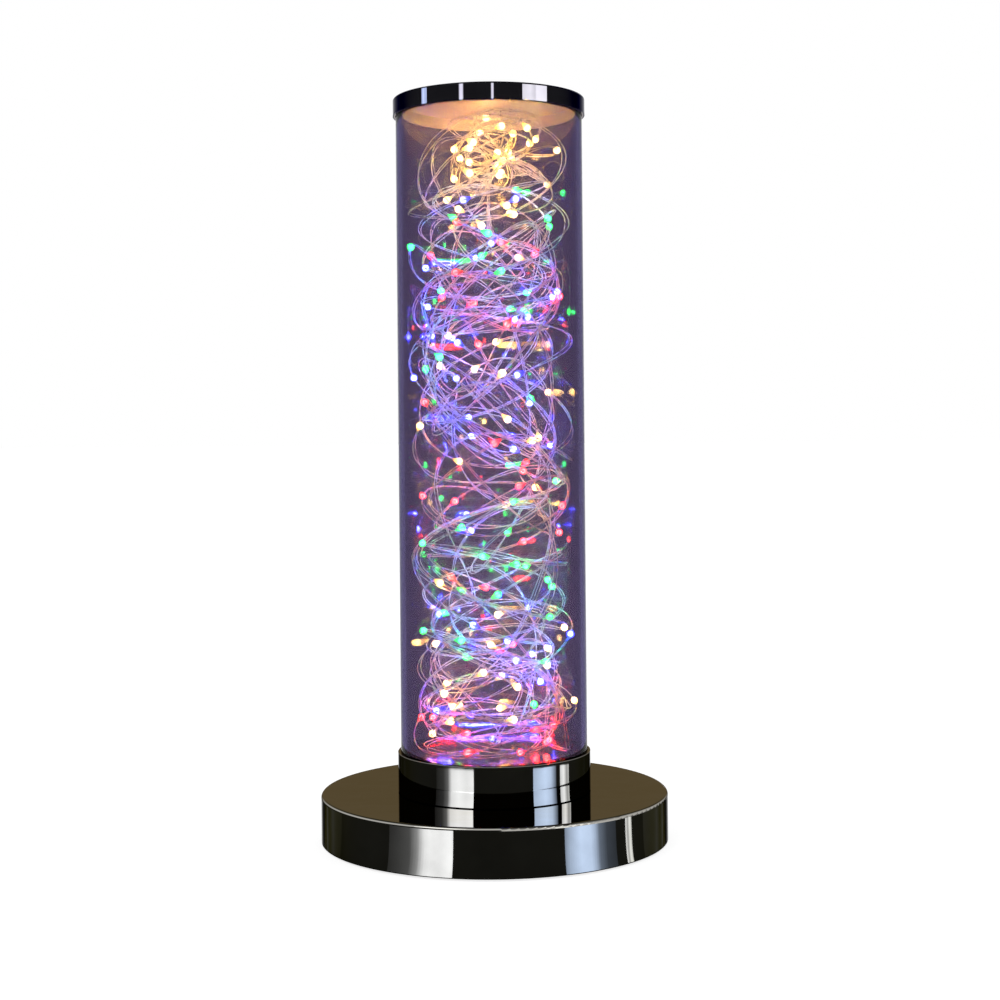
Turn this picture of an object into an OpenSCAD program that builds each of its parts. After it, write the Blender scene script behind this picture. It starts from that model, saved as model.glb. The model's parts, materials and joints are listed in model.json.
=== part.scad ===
// Table lamp: a clear tube full of wire light strands, between a plated cap and a heavy round base.
// Millimetres, +Z up, origin on the table under the middle of the base. The back of the lamp is +Y.

/* [Tube] */
// Outer diameter of the clear tube
tube_d = 100; // [92:1:110]
// Wall thickness of the clear tube
tube_wall = 3; // [2:0.5:4]
// Length of tube in view between collar and cap
tube_view = 340; // [300:5:380]

/* [Cap] */
// Height of the cap's rim
cap_h = 9; // [7:0.5:12]
// Metal thickness of the cap
cap_wall = 1.3; // [1:0.1:1.6]
// Rounding of the cap's upper edge
cap_edge_r = 1; // [0.5:0.1:1.2]
// Thickness of the mirror disc under the cap
mirror_t = 1.2; // [1:0.1:1.6]

/* [Collar] */
// Height of the collar above the base
collar_h = 21.5; // [20:0.5:26]
// Metal thickness of the collar's ring
collar_wall = 1.4; // [1:0.1:1.8]
// Thickness of the collar's bottom web
web_t = 2; // [1.5:0.1:2.5]
// Bevel round the foot of the collar
collar_bevel = 0.6; // [0.3:0.1:0.9]
// Thickness of the soft rings at both ends of the tube
gasket_t = 1; // [0.8:0.1:1.4]

/* [Inner floor] */
// How far the inner floor lies below the collar's lip
floor_drop = 2; // [1:0.5:3]
// Sheet thickness of the inner floor
floor_t = 1.5; // [1:0.1:2]
// Sheet thickness of the rims that centre the inner floor and the mirror in the tube
rim_t = 0.7; // [0.5:0.1:0.9]
// Diameter of the hole in the inner floor
floor_hole_d = 12; // [11:0.5:14]
// Thickness of the grommet's lips
grommet_lip = 1.2; // [1:0.1:1.5]
// How far the grommet's lips reach past the hole
grommet_reach = 2; // [1:0.5:3]

/* [Base] */
// Outer diameter of the base
base_d = 185.5; // [178:0.5:200]
// Height of the base shell
base_h = 25; // [24:0.5:30]
// Sheet thickness of the base shell
shell_wall = 1.2; // [1:0.1:1.5]
// Rounding of the base's upper edge
base_edge_r = 1.6; // [1:0.1:2]
// Gap between table and base rim
rim_gap = 1; // [0.5:0.1:1.5]
// How far the bottom plate lies above the rim
plate_recess = 1; // [0.8:0.1:1.5]
// Thickness of the bottom plate
plate_t = 1.2; // [1:0.1:1.6]
// Diameter of a rubber foot
foot_d = 14; // [10:1:18]
// Radius of the circle of rubber feet
foot_ring_r = 76; // [70:1:80]
// Thickness of the cast weight
weight_h = 9; // [7:0.5:10]
// Diameter of the weight's screw bosses
boss_d = 9; // [8:0.5:11]
// Radius of the circle of screw bosses
boss_ring_r = 60; // [56:1:66]
// Thread diameter of the plate screws
plate_screw_d = 4; // [3:0.5:5]
// Thread length of the plate screws above the plate
plate_screw_grip = 8; // [6:0.5:10]

/* [Centre fixing] */
// Outer diameter of the threaded nipple
nipple_d = 10; // [9.5:0.5:11]
// Wall thickness of the threaded nipple
nipple_wall = 1.3; // [1:0.1:1.5]
// How far the nipple stands out of its nuts
nipple_end = 1; // [0.5:0.1:1.5]
// Width of the nipple nuts across flats
nut_flats = 17; // [16:0.5:18]
// Thickness of the nipple nuts
nut_t = 4; // [3.5:0.1:4.5]
// Diameter of the nipple washers
washer_d = 22; // [20:1:26]
// Thickness of the nipple washers
washer_t = 1.4; // [1:0.1:1.6]

/* [Rear panel] */
// Width of the rear panel
panel_w = 46; // [45:0.5:50]
// Height of the rear panel
panel_h = 17; // [16.5:0.5:19]
// Depth of the panel's face behind the rearmost point of the base
panel_recess = 5.2; // [4.8:0.1:6]
// Thickness of the panel's plate
panel_t = 2; // [1.6:0.1:2.4]
// Thickness of the panel's side walls
panel_side = 1.5; // [1.2:0.1:1.6]
// Reach of the panel's flange behind the shell
panel_flange = 1.5; // [1.2:0.1:1.8]

/* [Switch] */
// Distance of the switch's middle from the panel's side
switch_inset = 12.5; // [12:0.5:13]
// Width of the rocker
rocker_w = 11.2; // [10:0.2:11.6]
// Height of the rocker
rocker_h = 7.2; // [6:0.2:7.6]
// Tilt of the rocker to each side of level
rocker_tilt = 12; // [8:1:13]
// Diameter of the rocker's pivot pin
pivot_d = 1.8; // [1.4:0.1:2]
// Wall thickness of the switch housing
switch_wall = 0.9; // [0.7:0.1:1]
// Reach of the switch's bezel over the panel
bezel_reach = 1.6; // [1:0.1:1.8]
// Thickness of the switch's bezel
bezel_t = 1.6; // [1.2:0.1:2]
// Depth of the switch housing behind the panel's face
switch_depth = 11; // [10:0.5:13]

/* [Power inlet] */
// Distance of the inlet's middle from the panel's side
inlet_inset = 11; // [10:0.5:12]
// Thread diameter of the inlet's barrel
inlet_d = 8; // [7.5:0.5:9]
// Diameter of the socket
socket_d = 5.6; // [5.5:0.1:6]
// Diameter of the socket's centre pin
inlet_pin_d = 2.1; // [1.6:0.1:2.5]
// Depth of the socket
socket_depth = 9.5; // [8:0.5:10]
// Diameter of the inlet's flange
inlet_flange_d = 11; // [10.5:0.5:12]
// Thickness of the inlet's flange
inlet_flange_t = 1.8; // [1.4:0.1:2.2]
// Length of the inlet's barrel behind the panel's face
inlet_depth = 11.5; // [11:0.5:13]
// Width of the inlet nut across flats
inlet_nut_flats = 11; // [11:0.5:12]
// Thickness of the inlet nut
inlet_nut_t = 2.2; // [1.8:0.1:2.6]

/* [Driver board] */
// Width of the driver board
board_w = 60; // [56:1:64]
// Depth of the driver board
board_d = 34; // [32:1:36]
// Thickness of the driver board
board_t = 1.6; // [1.2:0.1:2]
// Distance from the lamp's axis to the board's near edge
board_y = 18; // [17.5:0.5:20]
// Height of the board's stand-offs
standoff_h = 3; // [2.5:0.1:3.4]
// Diameter of the board's stand-offs
standoff_d = 6; // [5:0.5:7]
// Thread diameter of the board screws
board_screw_d = 2.4; // [2:0.1:2.6]

/* [Light strands] */
// Thickness of a strand's wire
wire_d = 0.7; // [0.5:0.1:0.8]
// Diameter of a light's resin drop
led_d = 3.4; // [2.6:0.1:3.6]
// Length of a light's resin drop past its middle
led_tail = 3.6; // [3:0.1:4]
// Diameter of the sleeve that gathers the strands
sleeve_d = 6.4; // [6:0.1:7]
// How far the sleeve stands above the inner floor
sleeve_rise = 4.5; // [4:0.5:6]
// Length of the sleeve below the inner floor
sleeve_tail = 6; // [5:0.5:7]
// Distance of each strand from the middle of the sleeve
strand_ring_r = 1.6; // [1.5:0.1:2]
// Thickness of the lead from the board to the sleeve
lead_d = 2.4; // [2:0.1:2.6]
// Thickness of the leads between panel and board
hookup_d = 1.6; // [1.2:0.1:1.8]

/* [Hidden] */
$fn = 64;
slip = 0.2;       // clearance of pieces that slide together
thread_gap = 0.05; // clearance of threads and running pins
swing_gap = 0.3;  // clearance round the rocker's swing
cut = 1;          // how far a cutting body runs past a face

tube_r = tube_d / 2;
tube_ir = tube_r - tube_wall;
cap_ir = tube_r + slip;
cap_r = cap_ir + cap_wall;
collar_ir = tube_r + slip;
collar_r = collar_ir + collar_wall;
base_r = base_d / 2;
shell_ir = base_r - shell_wall;

z_plate = rim_gap + plate_recess;
z_plate_top = z_plate + plate_t;
z_base_top = rim_gap + base_h;
z_shell_in = z_base_top - shell_wall;
z_weight = z_shell_in - weight_h;
z_web_top = z_base_top + web_t;
z_tube = z_web_top + gasket_t;
z_collar_top = z_base_top + collar_h;
z_floor = z_collar_top - floor_drop;
z_cap = z_collar_top + tube_view;
z_cap_top = z_cap + cap_h;
z_ceiling = z_cap_top - cap_wall;
z_mirror = z_ceiling - mirror_t;
z_tube_top = z_mirror - gasket_t;

cup_r = tube_ir - slip;
nipple_r = nipple_d / 2;
nipple_ir = nipple_r - nipple_wall;
nipple_hole_r = nipple_r + slip;
z_washer_low = z_weight - washer_t;
z_nut_low = z_washer_low - nut_t;
z_washer_high = z_web_top;
z_nut_high = z_washer_high + washer_t;
z_nipple = z_nut_low - nipple_end;
z_nipple_top = z_nut_high + nut_t + nipple_end;

plate_screw_head_t = z_plate - 0.6;
plate_screw_head_d = 1.9 * plate_screw_d;
boss_angles = [30, 150, 270];
foot_angles = [45, 135, 225, 315];

panel_y = base_r - panel_recess;
panel_z = rim_gap + base_h / 2;
panel_back_y = panel_y - panel_t;
switch_x = switch_inset - panel_w / 2;
inlet_x = panel_w / 2 - inlet_inset;
switch_y = panel_y - 0.5;
rocker_front = 3.3;
rocker_back = 3;
rocker_hollow_r = 15;
rocker_hollow = 2.2;
swing_w = rocker_w / 2 * cos(rocker_tilt) + rocker_front * sin(rocker_tilt) + swing_gap;
swing_back = rocker_back * cos(rocker_tilt) + rocker_w / 2 * sin(rocker_tilt) + swing_gap;
window_h = rocker_h / 2 + swing_gap;
switch_half_w = swing_w + switch_wall;
switch_half_h = window_h + switch_wall;
switch_back_y = panel_y - switch_depth;
inlet_front_y = panel_y + inlet_flange_t;
inlet_back_y = panel_y - inlet_depth;
lug_w = 0.8;
lug_h = 3.6;
lug_len = 5;
switch_lug_x = 4;
inlet_lug_x = 2.4;

z_board = z_plate_top + standoff_h;
z_board_top = z_board + board_t;
board_hole_in = 4;
board_screw_head_t = 1.5;
terminal = [16, 7, 6];
terminal_pitch = 10;
header = [12, 5, 4];
capacitor_d = 8;
capacitor_h = 6.4;
capacitor_x = 14;
chip = [10, 6, 1.8];
chip_x = -6;
mosfet = [5, 6, 1.6];
mosfet_pitch = 9;
mosfet_gap = 1.5; // from the output header

loop_rings = 16; // wire points in each loop
led_step = 7;    // wire points from one light to the next
z_sleeve = z_floor - floor_t - sleeve_tail;
z_sleeve_top = z_floor + sleeve_rise;
wire_sides = 6;
wire_wall_gap = 1.4; // least distance from wire to tube
strand_r = tube_ir - wire_wall_gap - wire_d / 2;
strand_end_gap = 3; // from the strands' range to floor and mirror
z_strand = z_floor + strand_end_gap;
strand_height = z_mirror - strand_end_gap - z_strand;

// Each strand gathers its loops in nests. A nest is [height, half height, radius, loops]:
// heights are shares of the clear height, the radius is a share of the clear radius.
warm_nests = [[0.098, 0.054, 0.907, 4], [0.531, 0.058, 0.865, 3], [0.907, 0.034, 0.471, 5]];
blue_nests = [[0.136, 0.074, 0.94, 4], [0.599, 0.101, 0.952, 5], [0.804, 0.054, 0.907, 2]];
green_nests = [[0.127, 0.051, 0.918, 2], [0.254, 0.058, 0.939, 4], [0.502, 0.103, 0.948, 2],
    [0.799, 0.078, 0.894, 3]];
red_nests = [[0.014, 0.019, 0.864, 4], [0.375, 0.055, 0.968, 3], [0.515, 0.099, 0.952, 1],
    [0.738, 0.067, 0.879, 4]];
// How a strand winds: [start angle, turning sense, rises per loop, rise phase,
// swells per loop, swell phase, direction of lean]
warm_wind = [-2, 1, 1.384, 231, 0.754, 193, 206];
blue_wind = [91, -1, 0.592, 50, 0.615, 97, 201];
green_wind = [189, 1, 0.679, 203, 0.722, 327, 114];
red_wind = [280, -1, 1.269, 29, 0.858, 260, 37];
swell = 0.18;       // how far a loop's radius swells and shrinks
lean_turn = 70;     // degrees by which a nest's lean turns in each loop
nest_blend = 1.2;   // loops in which one nest passes into the next
lead_loops = 0.75;  // loops in which a strand leaves its sleeve

plated = [0.14, 0.13, 0.12];
steel = [0.62, 0.63, 0.65];
iron = [0.25, 0.25, 0.26];
rubber = [0.06, 0.06, 0.06];
black_plastic = [0.09, 0.09, 0.10];
copper_wire = [0.78, 0.62, 0.42];

// Small helpers

function total(list, i = 0) = i < len(list) ? list[i] + total(list, i + 1) : 0;
function unit(v) = v / norm(v);
function eased(x) = let (s = min(1, max(0, x))) s * s * (3 - 2 * s);

module at_angles(angles, radius) {
    for (angle = angles) rotate(angle) translate([radius, 0, 0]) children();
}

module ring(outer_r, inner_r, height) {
    difference() {
        cylinder(h = height, r = outer_r);
        translate([0, 0, -cut]) cylinder(h = height + 2 * cut, r = inner_r);
    }
}

module hex_nut(flats, bore_r, height) {
    difference() {
        cylinder(h = height, d = flats / cos(30), $fn = 6);
        translate([0, 0, -cut]) cylinder(h = height + 2 * cut, r = bore_r);
    }
}

// A block by its middle in X and Z and its two faces in Y
module rear_block(x, z, width, height, y_from, y_to) {
    translate([x - width / 2, y_from, z - height / 2]) cube([width, y_to - y_from, height]);
}

// A round body along Y
module rear_round(x, z, radius, y_from, y_to, sides = 64) {
    translate([x, y_from, z]) rotate([-90, 0, 0]) cylinder(h = y_to - y_from, r = radius, $fn = sides);
}

// A tube swept along points, whose section turns as little as it can
function tangents(points) = let (last = len(points) - 1)
    [for (i = [0 : last]) unit(points[min(i + 1, last)] - points[max(i - 1, 0)])];

function across(v) = unit(cross(v, abs(v[2]) < 0.9 ? [0, 0, 1] : [1, 0, 0]));

function carried(side, tangent) = unit(side - (side * tangent) * tangent);

function sides_along(directions) =
    [for (i = 0, side = across(directions[0]); i < len(directions);
        i = i + 1, side = i < len(directions) ? carried(side, directions[i]) : side) side];

module swept_tube(points, diameter, sides) {
    directions = tangents(points);
    normals = sides_along(directions);
    last = len(points) - 1;
    corners = [for (i = [0 : last]) let (side = normals[i], up = cross(directions[i], side))
        for (k = [0 : sides - 1]) let (a = 360 * k / sides)
            points[i] + diameter / 2 * (cos(a) * side + sin(a) * up)];
    walls = [for (i = [0 : last - 1]) for (k = [0 : sides - 1])
        let (a = i * sides + k, b = i * sides + (k + 1) % sides)
            each [[a, b + sides, b], [a, a + sides, b + sides]]];
    ends = [for (k = [1 : sides - 2]) each [[0, k, k + 1],
        [last * sides, last * sides + k + 1, last * sides + k]]];
    polyhedron(points = corners, faces = concat(walls, ends), convexity = 10);
}

// Base

module base_shell() {
    color(plated) difference() {
        rotate_extrude() difference() {
            shell_outline(base_r, z_base_top, base_edge_r);
            shell_outline(shell_ir, z_shell_in, max(0.3, base_edge_r - shell_wall));
        }
        translate([0, 0, z_shell_in - cut]) cylinder(h = shell_wall + 2 * cut, r = nipple_hole_r);
        rear_block(0, panel_z, panel_w + 2 * slip, panel_h + 2 * slip, panel_back_y, base_r + cut);
    }
}

// Half section of a drum from the rim to its top, with its upper edge rounded
module shell_outline(radius, top, edge_r) {
    translate([0, rim_gap]) square([radius - edge_r, top - rim_gap]);
    translate([0, rim_gap]) square([radius, top - rim_gap - edge_r]);
    intersection() {
        translate([radius - edge_r, top - edge_r]) circle(r = edge_r);
        translate([radius - edge_r, top - edge_r]) square(edge_r);
    }
}

module base_weight() {
    weight_r = shell_ir - base_edge_r - slip;
    notch_y = switch_back_y - 2 * lug_len;
    color(iron) difference() {
        union() {
            translate([0, 0, z_weight]) cylinder(h = weight_h, r = weight_r);
            at_angles(boss_angles, boss_ring_r)
                translate([0, 0, z_plate_top]) cylinder(h = z_weight - z_plate_top + cut, d = boss_d);
        }
        translate([0, 0, z_weight - cut]) cylinder(h = weight_h + 2 * cut, r = nipple_hole_r);
        at_angles(boss_angles, boss_ring_r) translate([0, 0, z_plate_top - cut])
            cylinder(h = plate_screw_grip + 2 * cut, d = plate_screw_d + 2 * thread_gap);
        translate([-panel_w / 2 - 2 * panel_flange, notch_y, z_weight - cut])
            cube([panel_w + 4 * panel_flange, base_r - notch_y, weight_h + 2 * cut]);
    }
}

module bottom_plate() {
    color(black_plastic) difference() {
        translate([0, 0, z_plate]) cylinder(h = plate_t, r = shell_ir - 2 * slip);
        at_angles(boss_angles, boss_ring_r)
            translate([0, 0, z_plate - cut]) cylinder(h = plate_t + 2 * cut, d = plate_screw_d + 2 * slip);
    }
}

module plate_screws() {
    color(steel) at_angles(boss_angles, boss_ring_r) difference() {
        union() {
            translate([0, 0, z_plate - plate_screw_head_t])
                cylinder(h = plate_screw_head_t, d = plate_screw_head_d);
            translate([0, 0, z_plate - cut / 2])
                cylinder(h = cut / 2 + plate_t + plate_screw_grip, d = plate_screw_d);
        }
        cross_recess(z_plate - plate_screw_head_t, plate_screw_head_d / 2, plate_screw_head_t / 2);
    }
}

// A cross cut into a screw head from below
module cross_recess(z, width, depth) {
    for (angle = [0, 90]) rotate(angle)
        translate([-width / 2, -width / 8, z - cut]) cube([width, width / 4, depth + cut]);
}

module rubber_feet() {
    color(rubber) at_angles(foot_angles, foot_ring_r)
        cylinder(h = z_plate, d1 = foot_d - 1, d2 = foot_d);
}

// Centre fixing

module threaded_nipple() {
    color(steel) translate([0, 0, z_nipple]) ring(nipple_r, nipple_ir, z_nipple_top - z_nipple);
}

module nipple_washer(z) {
    color(steel) translate([0, 0, z]) ring(washer_d / 2, nipple_hole_r, washer_t);
}

module nipple_nut(z) {
    color(steel) translate([0, 0, z]) hex_nut(nut_flats, nipple_r + thread_gap, nut_t);
}

// Collar, inner floor and tube

module tube_collar() {
    foot_r = collar_r - collar_bevel;
    color(plated) rotate_extrude() polygon([
        [nipple_hole_r, z_base_top], [foot_r, z_base_top], [collar_r, z_base_top + collar_bevel],
        [collar_r, z_collar_top - slip], [collar_r - slip, z_collar_top], [collar_ir, z_collar_top],
        [collar_ir, z_web_top], [nipple_hole_r, z_web_top]]);
}

module end_ring(z) {
    color([0.75, 0.75, 0.75]) translate([0, 0, z]) ring(tube_r, tube_ir + slip, gasket_t);
}

module inner_floor() {
    color([0.55, 0.5, 0.55]) rotate_extrude() polygon([
        [cup_r, z_web_top], [cup_r, z_collar_top - slip], [cup_r - rim_t, z_collar_top - slip],
        [cup_r - rim_t, z_floor], [floor_hole_d / 2, z_floor], [floor_hole_d / 2, z_floor - floor_t],
        [cup_r - floor_t, z_floor - floor_t], [cup_r - floor_t, z_web_top]]);
}

module floor_grommet() {
    inner_r = sleeve_d / 2 + slip;
    groove_r = floor_hole_d / 2 - thread_gap;
    lip_r = floor_hole_d / 2 + grommet_reach;
    low = z_floor - floor_t;
    color(rubber) rotate_extrude() polygon([
        [inner_r, low - grommet_lip], [lip_r, low - grommet_lip], [lip_r, low], [groove_r, low],
        [groove_r, z_floor], [lip_r, z_floor], [lip_r - grommet_lip / 2, z_floor + grommet_lip],
        [inner_r, z_floor + grommet_lip]]);
}

module clear_tube() {
    color([0.42, 0.38, 0.5, 0.35]) translate([0, 0, z_tube]) ring(tube_r, tube_ir, z_tube_top - z_tube);
}

// Cap

module top_cap() {
    color(plated) rotate_extrude() difference() {
        union() {
            translate([0, z_cap]) square([cap_r, cap_h - cap_edge_r]);
            translate([0, z_cap]) square([cap_r - cap_edge_r, cap_h]);
            intersection() {
                translate([cap_r - cap_edge_r, z_cap_top - cap_edge_r]) circle(r = cap_edge_r);
                translate([cap_r - cap_edge_r, z_cap_top - cap_edge_r]) square(cap_edge_r);
            }
        }
        translate([-cut, z_cap - cut]) square([cap_ir + cut, cap_h - cap_wall + cut]);
    }
}

module cap_mirror() {
    z_rim = z_cap + slip;
    color([0.8, 0.78, 0.74]) rotate_extrude() polygon([
        [0, z_mirror], [cup_r - rim_t, z_mirror], [cup_r - rim_t, z_rim], [cup_r, z_rim],
        [cup_r, z_mirror], [tube_r, z_mirror], [tube_r, z_mirror + mirror_t], [0, z_mirror + mirror_t]]);
}

// Rear panel with its switch and power inlet

module rear_panel() {
    color(black_plastic) difference() {
        union() {
            intersection() {
                rear_block(0, panel_z, panel_w, panel_h, panel_back_y, base_r);
                cylinder(h = z_base_top, r = base_r - swing_gap);
            }
            intersection() {
                rear_block(0, panel_z, panel_w + 2 * panel_flange, panel_h, panel_back_y, base_r);
                cylinder(h = z_base_top, r = shell_ir - thread_gap);
            }
        }
        rear_block(0, panel_z, panel_w - 2 * panel_side, panel_h - 2 * panel_side, panel_y, base_r + cut);
        rear_block(switch_x, panel_z, 2 * (switch_half_w + slip), 2 * (switch_half_h + slip),
            panel_back_y - cut, panel_y + cut);
        rear_round(inlet_x, panel_z, inlet_d / 2 + slip, panel_back_y - cut, panel_y + cut);
    }
}

module switch_housing() {
    color(black_plastic) difference() {
        union() {
            rear_block(switch_x, panel_z, 2 * switch_half_w, 2 * switch_half_h,
                switch_back_y, panel_y + cut / 2);
            rear_block(switch_x, panel_z, 2 * (switch_half_w + bezel_reach),
                2 * (switch_half_h + bezel_reach), panel_y, panel_y + bezel_t);
        }
        rear_block(switch_x, panel_z, 2 * swing_w, 2 * window_h, switch_y - swing_back, base_r);
        translate([switch_x, switch_y, panel_z - switch_half_h - cut])
            cylinder(h = 2 * switch_half_h + 2 * cut, d = pivot_d + 2 * thread_gap);
    }
}

module switch_rocker() {
    color([0.05, 0.05, 0.05]) translate([switch_x, switch_y, panel_z - rocker_h / 2])
        rotate(rocker_tilt) linear_extrude(rocker_h) difference() {
            translate([-rocker_w / 2, -rocker_back]) square([rocker_w, rocker_back + rocker_front]);
            translate([0, rocker_hollow + rocker_hollow_r]) circle(r = rocker_hollow_r);
            circle(d = pivot_d + 2 * thread_gap);
        }
}

module switch_pivot_pin() {
    color(steel) translate([switch_x, switch_y, panel_z - switch_half_h])
        cylinder(h = 2 * switch_half_h, d = pivot_d);
}

module lug_pair(x, spread, back_y) {
    color([0.8, 0.7, 0.45]) for (side = [-1, 1])
        rear_block(x + side * spread, panel_z, lug_w, lug_h, back_y - lug_len, back_y);
}

module power_inlet() {
    color(black_plastic) difference() {
        union() {
            rear_round(inlet_x, panel_z, inlet_d / 2, inlet_back_y, panel_y + cut / 2);
            rear_round(inlet_x, panel_z, inlet_flange_d / 2, panel_y, inlet_front_y);
        }
        rear_round(inlet_x, panel_z, socket_d / 2, inlet_front_y - socket_depth, inlet_front_y + cut);
    }
}

module inlet_centre_pin() {
    color(steel) rear_round(inlet_x, panel_z, inlet_pin_d / 2, inlet_front_y - socket_depth,
        inlet_front_y - inlet_flange_t);
}

module inlet_nut() {
    color(steel) translate([inlet_x, panel_back_y - inlet_nut_t, panel_z]) rotate([-90, 30, 0])
        hex_nut(inlet_nut_flats, inlet_d / 2 + thread_gap, inlet_nut_t);
}

// Driver board

board_holes = [for (sx = [-1, 1], sy = [0, 1])
    [sx * (board_w / 2 - board_hole_in), board_y + (sy == 0 ? board_hole_in : board_d - board_hole_in)]];

module at_board_holes() {
    for (place = board_holes) translate([place[0], place[1], 0]) children();
}

// A block that stands on the board, by its middle in X and its near edge in Y
module board_block(x, y, size) {
    translate([x - size[0] / 2, y, z_board_top]) cube(size);
}

module driver_board() {
    color([0.1, 0.35, 0.18]) difference() {
        translate([-board_w / 2, board_y, z_board]) cube([board_w, board_d, board_t]);
        at_board_holes() translate([0, 0, z_board - cut])
            cylinder(h = board_t + 2 * cut, d = board_screw_d + 2 * slip);
    }
}

module board_standoffs() {
    color([0.85, 0.85, 0.8]) at_board_holes() translate([0, 0, z_plate_top])
        ring(standoff_d / 2, board_screw_d / 2 + thread_gap, standoff_h);
}

module board_screws() {
    color(steel) at_board_holes() {
        translate([0, 0, z_board_top]) cylinder(h = board_screw_head_t, d = 1.9 * board_screw_d);
        translate([0, 0, z_plate_top + slip])
            cylinder(h = z_board_top - z_plate_top - slip + cut / 2, d = board_screw_d);
    }
}

module input_terminal_block() {
    color([0.15, 0.45, 0.3]) board_block(0, board_y + board_d - terminal[1], terminal);
}

module output_header() {
    color([0.9, 0.9, 0.85]) board_block(0, board_y, header);
}

module driver_chip() {
    color([0.08, 0.08, 0.08]) board_block(chip_x, board_y + board_d / 2 - chip[1] / 2, chip);
}

module driver_mosfets() {
    color([0.1, 0.1, 0.1]) for (i = [0 : 3])
        board_block((i - 1.5) * mosfet_pitch, board_y + header[1] + mosfet_gap, mosfet);
}

module driver_capacitor() {
    color([0.15, 0.18, 0.35]) translate([capacitor_x, board_y + board_d / 2, z_board_top])
        cylinder(h = capacitor_h, d = capacitor_d);
}

// Leads between the panel, the board and the strands

z_terminal = z_board_top + terminal[2] / 2;
z_header = z_board_top + header[2] / 2;
y_terminal = board_y + board_d;
y_switch_lug = switch_back_y - lug_len;
y_inlet_lug = inlet_back_y - lug_len;
lead_straight = 2;  // straight stretch at both ends of a lead
lead_steps = 4;
lead_bow = [0, -4.5, -0.7];
lead_clear = 3;     // height of the strands' lead above the bottom plate

// A lead that leaves both its ends straight and swings from one to the other
function lead_route(from, from_way, to, to_way, bow) =
    let (a = from + lead_straight * from_way, b = to + lead_straight * to_way)
    concat([from], [for (i = [0 : lead_steps])
        let (t = i / lead_steps, s = eased(t), way = b - a)
            a + [way[0] * s, way[1] * t, way[2] * s] + bow * sin(180 * t)], [to]);

inward = [0, -1, 0];
outward = [0, 1, 0];
inlet_switch_route = lead_route([inlet_x - inlet_lug_x, y_inlet_lug, panel_z], inward,
    [switch_x + switch_lug_x, y_switch_lug, panel_z], inward, lead_bow);
switch_board_route = lead_route([switch_x - switch_lug_x, y_switch_lug, panel_z], inward,
    [-terminal_pitch / 2, y_terminal, z_terminal], outward, [0, 0, 0]);
inlet_board_route = lead_route([inlet_x + inlet_lug_x, y_inlet_lug, panel_z], inward,
    [terminal_pitch / 2, y_terminal, z_terminal], outward, [0, 0, 0]);

// From the board's header down under the nipple, and up through it to the sleeve
z_lead = z_plate_top + lead_clear;
strand_lead_route = [
    [0, board_y, z_header], [0, board_y - lead_straight, z_header - 0.2], [0, board_y - 6, z_lead + 1.6],
    [0, board_y - 10, z_lead], [0, 4.5, z_lead], [0, 2, z_lead + 1.4], [0, 0.6, z_lead + 4.3],
    [0, 0, z_lead + 9], [0, 0, z_weight + weight_h / 2], [0, 0, z_nipple_top], [0, 0, z_sleeve]];

module hookup_lead(route, colour) {
    color(colour) swept_tube(route, hookup_d, 8);
}

module strand_lead() {
    color([0.2, 0.2, 0.2]) swept_tube(strand_lead_route, lead_d, 8);
}

module strand_sleeve() {
    color([0.12, 0.12, 0.12]) translate([0, 0, z_sleeve]) cylinder(h = z_sleeve_top - z_sleeve, d = sleeve_d);
}

// Light strands

// The value of one column of the nests after a number of loops, eased from nest to nest
function nest_value(nests, column, loops) = nests[0][column] + total(
    [for (i = [1 : len(nests) - 1])
        let (edge = total([for (k = [0 : i - 1]) nests[k][3]]))
            (nests[i][column] - nests[i - 1][column]) * eased((loops - edge) / nest_blend + 0.5)]);

// A strand's centreline: loops round the tube's axis that rise and fall, swell and lean
function strand_point(nests, wind, loops) =
    let (fill = nest_value(nests, 2, loops),
        start = eased(loops / lead_loops),
        angle = wind[0] + wind[1] * 360 * loops,
        lean = wind[6] + lean_turn * loops,
        swelled = 1 - swell * (1 + sin(360 * loops * wind[4] + wind[5])) / 2,
        radius = strand_ring_r + (strand_r * fill * swelled - strand_ring_r) * start,
        offset_r = 0.8 * strand_r * (1 - fill) * start,
        rise = sin(360 * loops * wind[2] + wind[3]),
        share = nest_value(nests, 0, loops) + nest_value(nests, 1, loops) * rise,
        height = z_strand + strand_height * share)
    [radius * cos(angle) + offset_r * cos(lean), radius * sin(angle) + offset_r * sin(lean),
        z_sleeve_top + wire_d + (height - z_sleeve_top - wire_d) * start];

function strand_points(nests, wind) =
    let (count = loop_rings * total([for (n = nests) n[3]]),
        first = strand_point(nests, wind, 0))
    concat([[first[0], first[1], z_sleeve_top]],
        [for (i = [0 : count]) strand_point(nests, wind, i / loop_rings)]);

// Least distance between two straight stretches of wire
function stretch_gap(a, b, c, d) =
    let (u = b - a, v = d - c, w = a - c, uu = u * u, uv = u * v, vv = v * v, uw = u * w, vw = v * w,
        den = max(uu * vv - uv * uv, 1e-9),
        s = min(1, max(0, (uv * vw - vv * uw) / den)),
        t = min(1, max(0, (uv * s + vw) / vv)),
        r = min(1, max(0, (uv * t - uw) / uu)))
    norm(w + r * u - t * v);

function least_gap(points) = min([for (i = [0 : len(points) - 5]) for (k = [i + 3 : len(points) - 2])
    stretch_gap(points[i], points[i + 1], points[k], points[k + 1])]);

module strand_wire(label, nests, wind) {
    points = strand_points(nests, wind);
    echo(str(label, " strand: least gap of the wire to itself ", least_gap(points) - wire_d, " mm"));
    color(copper_wire) swept_tube(points, wire_d, wire_sides);
}

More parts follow.
